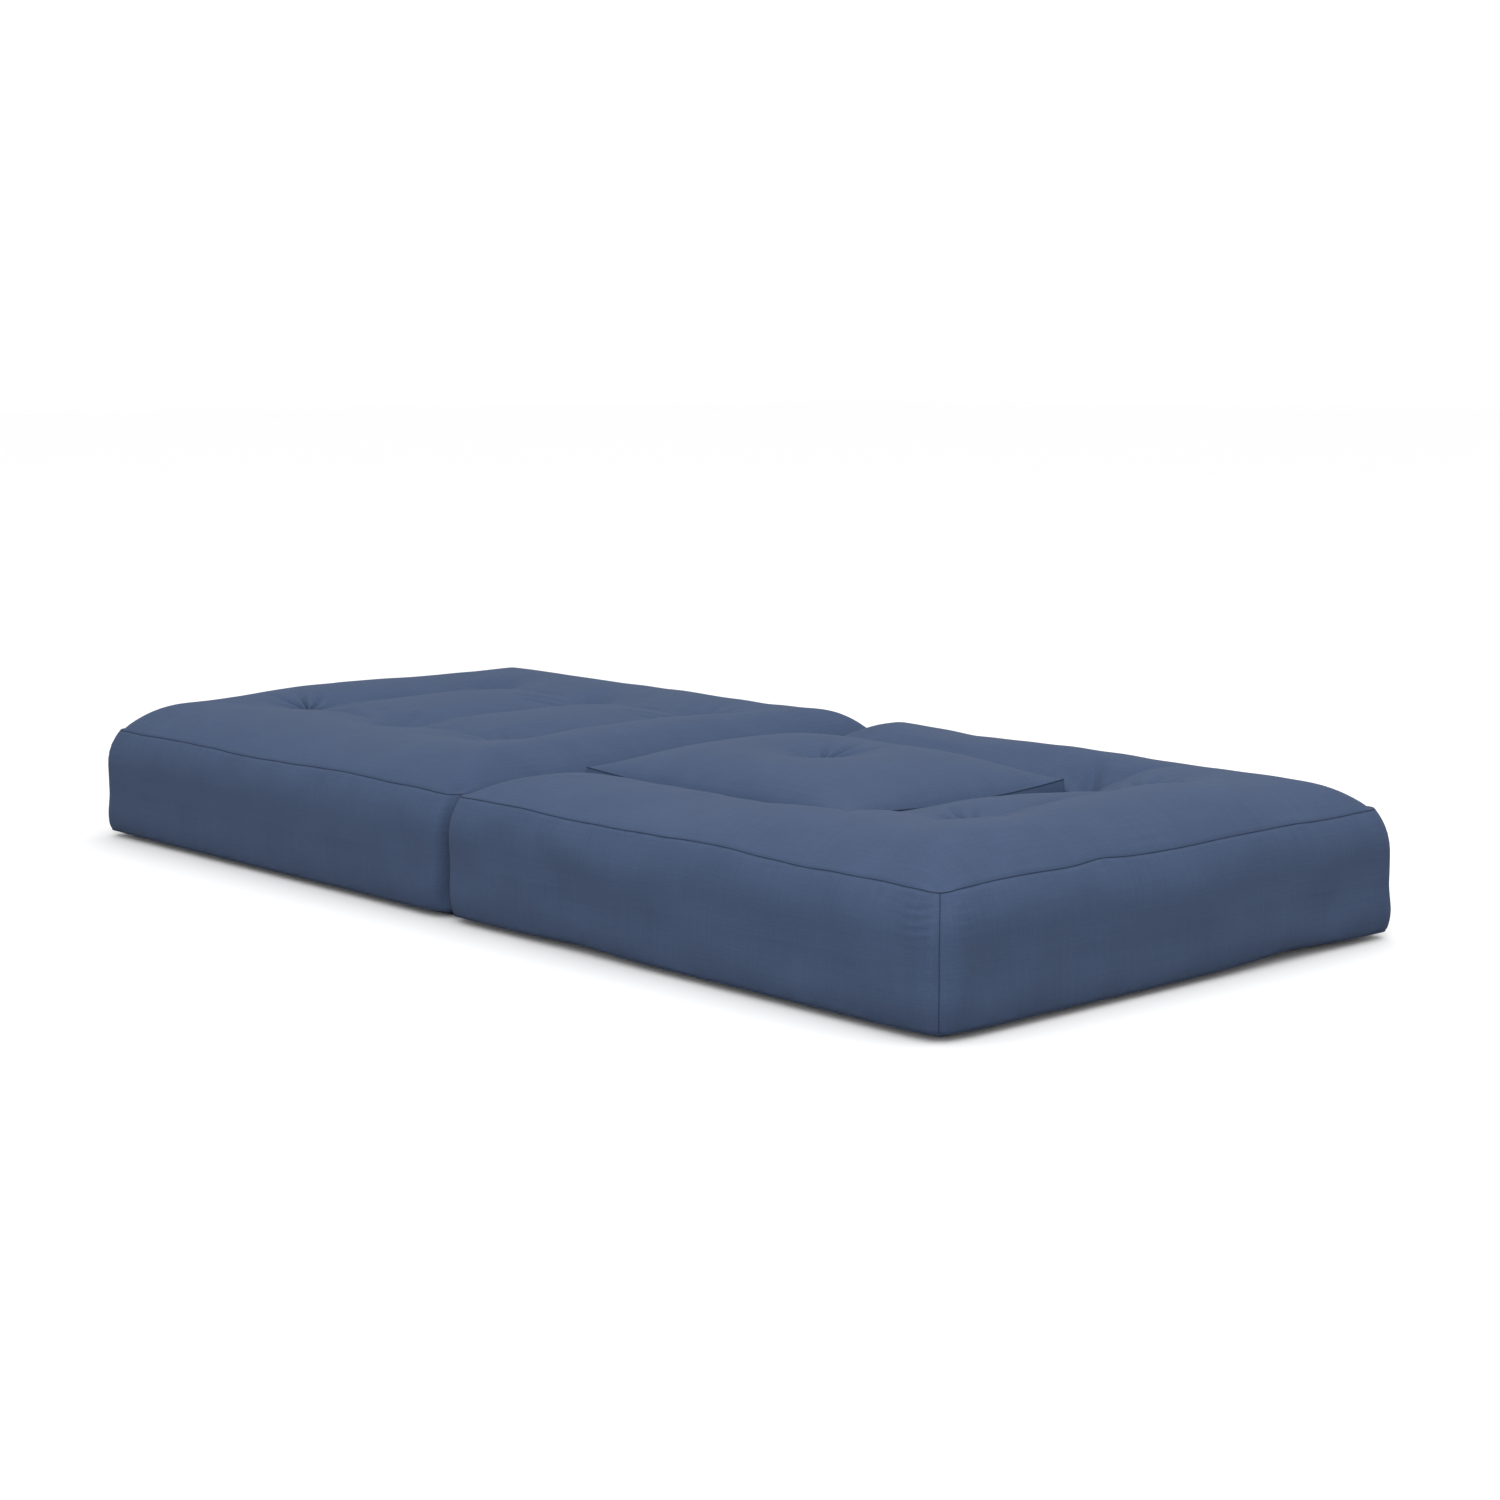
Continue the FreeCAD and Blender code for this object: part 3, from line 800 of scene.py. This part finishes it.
def bottom_cover(name, sign, tufts, seed):
    """The underside, turned up at its edge and drawn in at the tufts."""
    new_u = spaced(-HALF_LENGTH, HALF_LENGTH, step=2 * MESH_STEP)
    new_v = spaced(-HALF_WIDTH, HALF_WIDTH, step=2 * MESH_STEP)
    flat_u, flat_v = np.meshgrid(new_u, new_v, indexing="ij")
    round_u, round_v = round_corners(flat_u, flat_v, HALF_LENGTH, HALF_WIDTH, CORNER_RADIUS)
    edge = np.minimum(HALF_LENGTH - np.abs(flat_u), HALF_WIDTH - np.abs(flat_v))
    height = BOTTOM_SEAM * np.clip(1 - edge / UNDERSIDE_INSET, 0, 1) ** UNDERSIDE_POWER
    plan = np.stack([flat_u + BLOCK_MIDDLE, flat_v], -1)
    dips = np.zeros_like(height)
    for at_u, at_v, *_ in tufts:
        away = np.hypot(plan[..., 0] - at_u, plan[..., 1] - at_v)
        dips = np.maximum(dips, fade(away, UNDERSIDE_TUFT_WIDTH, TUFT_POWER))
    height = height + UNDERSIDE_TUFT_DEPTH * dips
    points = np.stack([round_u + BLOCK_MIDDLE, round_v, height], -1)
    points = tuck_edge(points, edge)
    up = np.zeros_like(points)
    up[..., 2] = smooth(dips, 0.02, 0.3)
    points = gather(points, up, plan, tufts, seed)
    points[..., 2] = np.maximum(points[..., 2], FLOOR_CLEARANCE)
    points[..., 0] *= sign
    return add_sheet(name, loosen(points), plan, flip=sign > 0)


def seam_line(sign, height):
    """The rounded outline of a block's seam, turned in by the tuck."""
    line = []
    for side in ("end", "back", "joint", "front"):
        path, outward = side_path(side)
        path = path - outward * (SEAM_TUCK - SEAM_PROUD)
        line.append(path[:-1])
    plan = np.concatenate(line)
    points = np.concatenate([plan, np.full((len(plan), 1), height)], 1)
    points[:, 0] *= sign
    return loosen(points)


def corner_lines(sign):
    """The upright seams at the four corners."""
    lines = []
    levels = np.linspace(BOTTOM_SEAM, TOP_SEAM, 40)
    share = (levels - BOTTOM_SEAM) / (TOP_SEAM - BOTTOM_SEAM)
    for side in ("end", "back", "joint", "front"):
        path, outward = side_path(side)
        bulge = side_bulge(outward[:1], share)[0]
        plan = path[0] + outward[0] * (bulge - CORNER_TUCK + CORNER_PROUD)[:, None]
        points = np.concatenate([plan, levels[:, None]], 1)
        points[:, 0] *= sign
        lines.append(loosen(points))
    return lines


def stitch_marks(name, places, heights, body, sign=1):
    """Two crossing loops of twine at each tuft."""
    lines = []
    for (at_u, at_v, *_), height in zip(places, heights):
        for turn in STITCH_TURNS:
            t = np.linspace(-1, 1, 9)
            x = sign * (at_u + STITCH_REACH * t * math.cos(turn))
            y = at_v + STITCH_REACH * t * math.sin(turn)
            lines.append(np.stack([x, y, height + STITCH_RISE * (1 - t * t)], -1))
    piece = add_tube(name, lines, TWINE_RADIUS, closed=False)
    return dress(piece, TWINE, body)


def flatten_with_fold(piece):
    """Gives a piece a mesh of its own."""
    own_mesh(piece)


def make_block(block):
    """All the covers, seams and twine of one block."""
    prefix, sign, seed = block.name, block.sign, block.seed
    top = dress(top_cover(block), CLOTH, block.body)
    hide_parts(prefix + "_top_panel", prefix + "_top_felt")
    flatten_with_fold(top)
    for side in ("front", "back", "end", "joint"):
        wrinkles = SEAT_FRONT_WRINKLES if (prefix, side) == ("seat", "front") else WRINKLES
        cover = side_cover(f"{prefix}_{side}_cover", sign, side, seed + 20, wrinkles)
        dress(cover, CLOTH, block.body)
        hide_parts(f"{prefix}_{side}_panel")
        if side == "front":
            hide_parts(prefix + "_foam_core")
    under = bottom_cover(prefix + "_bottom_cover", sign, block.tufts, seed + 40)
    dress(under, CLOTH, block.body)
    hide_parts(prefix + "_bottom_panel", prefix + "_bottom_felt")
    # the seam cords take the seam cloth, darkened as painted shade for the seams' grooves
    for label, height in (("top", TOP_SEAM), ("bottom", BOTTOM_SEAM)):
        seam = add_tube(f"{prefix}_{label}_seam", [seam_line(sign, height)], SEAM_RADIUS)
        dress(seam, SEAM_CLOTH_PAINTED_SHADE, block.body)
    corners = add_tube(prefix + "_corner_seams", corner_lines(sign), 0.8 * SEAM_RADIUS, closed=False)
    dress(corners, SEAM_CLOTH_PAINTED_SHADE, block.body)
    add_tuft_stitches(block)


def add_tuft_stitches(block):
    """The twine at each tuft, on the top and on the underside."""
    heights = []
    for tuft in block.tufts:
        place = np.array(tuft[0]), np.array(tuft[1])
        if block.has_pocket and pocket_distance(*place) < 0:
            heights.append(POCKET_FLOOR - 0.001)
        else:
            heights.append(TOP_SEAM + float(block.tufted_height(*place)) + 0.001)
    upper = stitch_marks(block.name + "_tuft_stitches", block.tufts, heights, block.body, block.sign)
    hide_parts(block.name + "_tuft_ties")
    flatten_with_fold(upper)
    under_name = block.name + "_underside_stitches"
    under_heights = [UNDERSIDE_STITCH_HEIGHT] * len(block.tufts)
    stitch_marks(under_name, block.tufts, under_heights, block.body, block.sign)


make_block(FOLD)
make_block(SEAT)


# ---------------------------------------------------------------- the backrest cushion


def cushion_plan(u, v):
    """Pulls the cushion's sides in between its corners."""
    along_u, along_v = u / CUSHION_HALF_U, v / CUSHION_HALF_V
    pull_u = CUSHION_PULL * (1 - along_v**2) * along_u**3
    pull_v = CUSHION_PULL * (1 - along_u**2) * along_v**3
    return u - pull_u, v - pull_v


def cushion_sink(u, v):
    """How far the cushion's top seam lies below its corners, fading out towards the middle."""
    along_u, along_v = u / CUSHION_HALF_U, v / CUSHION_HALF_V
    return CUSHION_SINK * ((1 - along_u**2) * along_v**4 + (1 - along_v**2) * along_u**4)


def cushion_top():
    """The cushion's crowned top, as simulated cloth over its filling; gives its points."""
    step = CLOTH_STEP * 0.75
    old_u = np.linspace(-CUSHION_HALF_U, CUSHION_HALF_U, round(2 * CUSHION_HALF_U / step) + 1)
    old_v = np.linspace(-CUSHION_HALF_V, CUSHION_HALF_V, round(2 * CUSHION_HALF_V / step) + 1)
    flat_u, flat_v = np.meshgrid(old_u, old_v, indexing="ij")
    plan_u, plan_v = cushion_plan(flat_u, flat_v)
    a = 1 - np.abs(flat_u / CUSHION_HALF_U) ** 2.6
    b = 1 - np.abs(flat_v / CUSHION_HALF_V) ** 2.4
    away = np.hypot(flat_u, flat_v)
    height = CUSHION_CROWN * CUSHION_RISE * (a * b) ** 0.62
    height -= cushion_sink(flat_u, flat_v)
    height -= CUSHION_TUFT_DROP * fade(away, CUSHION_TUFT_WIDTH, TUFT_POWER)
    held = held_edges(height.shape) | (away < 0.008)
    points = np.stack([plan_u, plan_v, BAND_HIGH.z + height], -1)
    points = simulate(points, held, fade(away, 0.12))
    new_u = spaced(-CUSHION_HALF_U, CUSHION_HALF_U, [0.0], 0.7 * MESH_STEP)
    new_v = spaced(-CUSHION_HALF_V, CUSHION_HALF_V, [0.0], 0.7 * MESH_STEP)
    points = resample(points, old_u, old_v, new_u, new_v)
    plan = np.stack(np.meshgrid(new_u, new_v, indexing="ij"), -1)
    points = gather(points, grid_normals(points), plan, [CUSHION_TUFT], 300)
    points[..., 0] += CUSHION_MIDDLE_U
    top = add_sheet("backrest_top_cover", points, plan)
    dress(top, CLOTH, "backrest")
    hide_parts("backrest_top_panel", "backrest_felt")
    flatten_with_fold(top)
    return points


def cushion_outline():
    """The cushion's seam in plan, and how far its top seam sinks, all the way round."""
    u = spaced(-CUSHION_HALF_U, CUSHION_HALF_U)
    v = spaced(-CUSHION_HALF_V, CUSHION_HALF_V)
    plan = np.concatenate(
        [
            np.stack([u[:-1], np.full(len(u) - 1, -CUSHION_HALF_V)], -1),
            np.stack([np.full(len(v) - 1, CUSHION_HALF_U), v[:-1]], -1),
            np.stack([u[:0:-1], np.full(len(u) - 1, CUSHION_HALF_V)], -1),
            np.stack([np.full(len(v) - 1, -CUSHION_HALF_U), v[:0:-1]], -1),
        ]
    )
    out_u, out_v = cushion_plan(plan[:, 0], plan[:, 1])
    outline = np.stack([out_u + CUSHION_MIDDLE_U, out_v], -1)
    return outline, cushion_sink(plan[:, 0], plan[:, 1])


def cushion_seam(label, height, follows_top):
    """One of the two seams round the cushion; the top one sinks between the corners."""
    outline, sink = cushion_outline()
    line = np.concatenate([outline, (height - follows_top * sink)[:, None]], 1)
    # the cord takes the seam cloth, darkened as painted shade for the seam's groove
    seam = add_tube(f"backrest_{label}_seam", [line], SEAM_RADIUS)
    flatten_with_fold(dress(seam, SEAM_CLOTH_PAINTED_SHADE, "backrest"))


def cushion_band():
    """The boxed side of the cushion, rolled out slightly between its two seams."""
    outline, sink = cushion_outline()
    levels = spaced(BAND_LOW.z + 0.001, BAND_HIGH.z, step=0.003)
    share = (levels - levels[0]) / (levels[-1] - levels[0])
    ahead = np.roll(outline, -1, 0) - np.roll(outline, 1, 0)
    outward = np.stack([ahead[:, 1], -ahead[:, 0]], -1)
    outward /= np.linalg.norm(outward, axis=1)[:, None]
    bulge = 0.0025 * 4 * share * (1 - share) - 0.001
    points = np.zeros((len(outline), len(levels), 3))
    points[..., :2] = outline[:, None] + outward[:, None] * bulge[None, :, None]
    points[..., 2] = levels[None] - share[None] * sink[:, None]
    cloth = np.stack(np.broadcast_arrays(path_length(outline)[:, None], levels[None]), -1)
    band = add_mesh("backrest_side_cover", points, grid_faces(*points.shape[:2], loop=True), cloth)
    dress(band, CLOTH, "backrest")
    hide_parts("backrest_side_band", "backrest_foam_core")
    flatten_with_fold(band)


def cushion_bottom():
    """The cushion's flat underside, drawn in at its tuft."""
    new_u = spaced(-CUSHION_HALF_U, CUSHION_HALF_U, step=2 * MESH_STEP)
    new_v = spaced(-CUSHION_HALF_V, CUSHION_HALF_V, step=2 * MESH_STEP)
    flat_u, flat_v = np.meshgrid(new_u, new_v, indexing="ij")
    plan_u, plan_v = cushion_plan(flat_u, flat_v)
    away = np.hypot(flat_u, flat_v)
    height = BAND_LOW.z + 0.001 + CUSHION_UNDER_DIP * fade(away, UNDERSIDE_TUFT_WIDTH, TUFT_POWER)
    points = np.stack([plan_u + CUSHION_MIDDLE_U, plan_v, height], -1)
    plan = np.stack([flat_u, flat_v], -1)
    under = add_sheet("backrest_bottom_cover", points, plan, flip=True)
    dress(under, CLOTH, "backrest")
    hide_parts("backrest_bottom_panel")
    flatten_with_fold(under)


cushion_points = cushion_top()
cushion_band()
cushion_bottom()
cushion_seam("top", BAND_HIGH.z - 0.0004, 1)
cushion_seam("bottom", BAND_LOW.z + 0.0016, 0)
centre = cushion_points[tuple(n // 2 for n in cushion_points.shape[:2])]
tie = stitch_marks("backrest_tuft_stitch", [(CUSHION_MIDDLE_U, 0.0)], [centre[2] + 0.0005], "backrest")
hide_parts("backrest_tuft_tie")
flatten_with_fold(tie)


# ---------------------------------------------------------------- sewn hinges


def hinge_strip():
    """The narrow cloth across the joint, between the two top seams."""
    across = np.linspace(-1, 1, 13)
    along = np.linspace(-HALF_WIDTH + CORNER_RADIUS, HALF_WIDTH - CORNER_RADIUS, 160)
    half = JOINT_GAP + SEAM_TUCK - 0.0004
    grid_a, grid_y = np.meshgrid(across, along, indexing="ij")
    z = TOP_SEAM - 0.0035 * (1 - grid_a**2)
    points = np.stack([grid_a * half, grid_y, z], -1)
    cloth = np.stack([grid_a * half, grid_y], -1)
    strip = dress(add_sheet("fold_hinge_cover", points, cloth), CLOTH)
    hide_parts("fold_hinge_strip")
    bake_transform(strip)


def backrest_tape():
    """The tape from the joint's top seam to the cushion's seam, which it follows along its length."""
    low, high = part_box("backrest_hinge_tape")
    across = np.linspace(0, 1, 9)
    along = np.linspace(low.y, high.y, 90)
    grid_a, grid_y = np.meshgrid(across, along, indexing="ij")
    edge_x = CUSHION_MIDDLE_U + cushion_plan(-CUSHION_HALF_U, grid_y)[0] + 0.001
    edge_z = BAND_HIGH.z - 0.001 - cushion_sink(-CUSHION_HALF_U, grid_y)
    x = low.x + (edge_x - low.x) * grid_a
    z = low.z + (edge_z - low.z) * grid_a
    points = np.stack([x, grid_y, z], -1)
    cloth = np.stack([grid_a * 0.02, grid_y], -1)
    tape = dress(add_sheet("backrest_hinge_cover", points, cloth), CLOTH)
    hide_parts("backrest_hinge_tape")
    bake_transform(tape)


hinge_strip()
backrest_tape()


# ---------------------------------------------------------------- floor, light and camera


def add_floor(name, height, shade):
    """A wide level sheet of one grey."""
    reach = FLOOR_REACH
    plan = ((-reach, -reach), (reach, -reach), (reach, reach), (-reach, reach))
    corners = np.array([(x, y, height) for x, y in plan])
    floor = add_mesh(name, corners, np.array([[0, 1, 2, 3]]))
    material = bpy.data.materials.new(name)
    material.use_nodes = True
    shader = material.node_tree.nodes["Principled BSDF"]
    shader.inputs["Base Color"].default_value = (shade, shade, shade, 1)
    shader.inputs["Roughness"].default_value = 0.9
    floor.data.materials.append(material)
    return floor


def make_floors():
    """A pale floor for the camera, and a dark one just below that soft light on the cloth comes from."""
    pale = add_floor("floor", *PALE_FLOOR)
    pale.visible_diffuse = False
    pale.visible_shadow = False
    dim = add_floor("dim_floor", *DIM_FLOOR)
    dim.visible_camera = False
    dim.visible_glossy = False


def add_area_light(name, place, target, size, power):
    """A square lamp that faces the target."""
    data = bpy.data.lights.new(name, "AREA")
    data.shape = "SQUARE"
    data.size = size
    data.energy = power
    lamp = bpy.data.objects.new(name, data)
    lamp.location = place
    lamp.rotation_euler = (Vector(target) - Vector(place)).to_track_quat("-Z", "Y").to_euler()
    bpy.context.scene.collection.objects.link(lamp)


def make_light():
    """A white studio with wide soft lights overhead and in front, and little light from below."""
    world = bpy.data.worlds.new("studio")
    world.use_nodes = True
    nodes, links = world.node_tree.nodes, world.node_tree.links
    direction = nodes.new("ShaderNodeTexCoord")
    split = nodes.new("ShaderNodeSeparateXYZ")
    links.new(direction.outputs["Generated"], split.inputs["Vector"])
    climb = nodes.new("ShaderNodeMapRange")
    climb.inputs["From Min"].default_value = -0.12
    climb.inputs["From Max"].default_value = -0.03
    climb.inputs["To Min"].default_value = 0.30
    climb.inputs["To Max"].default_value = 1.06
    links.new(split.outputs["Z"], climb.inputs["Value"])
    background = nodes["Background"]
    background.inputs["Color"].default_value = (1, 1, 1, 1)
    links.new(climb.outputs["Result"], background.inputs["Strength"])
    bpy.context.scene.world = world
    add_area_light("overhead", (0.7, 0.7, 3.4), (0, 0, 0), size=4.0, power=28)
    add_area_light("front", (4.4, -4.8, 2.9), (0, 0, 0.1), size=3.6, power=232)


def make_camera():
    """The photo's view, from a little above and towards the near corner."""
    level = math.cos(CAMERA_PITCH)
    back = Vector((math.sin(CAMERA_YAW) * level, -math.cos(CAMERA_YAW) * level, math.sin(CAMERA_PITCH)))
    data = bpy.data.cameras.new("camera")
    data.lens = CAMERA_LENS
    data.sensor_width = CAMERA_SENSOR
    camera = bpy.data.objects.new("camera", data)
    camera.location = CAMERA_PLACE
    camera.rotation_euler = (-back).to_track_quat("-Z", "Y").to_euler()
    bpy.context.scene.collection.objects.link(camera)
    bpy.context.scene.camera = camera


make_floors()
make_light()
make_camera()
bpy.context.scene.view_settings.view_transform = "Standard"

bpy.context.view_layer.update()
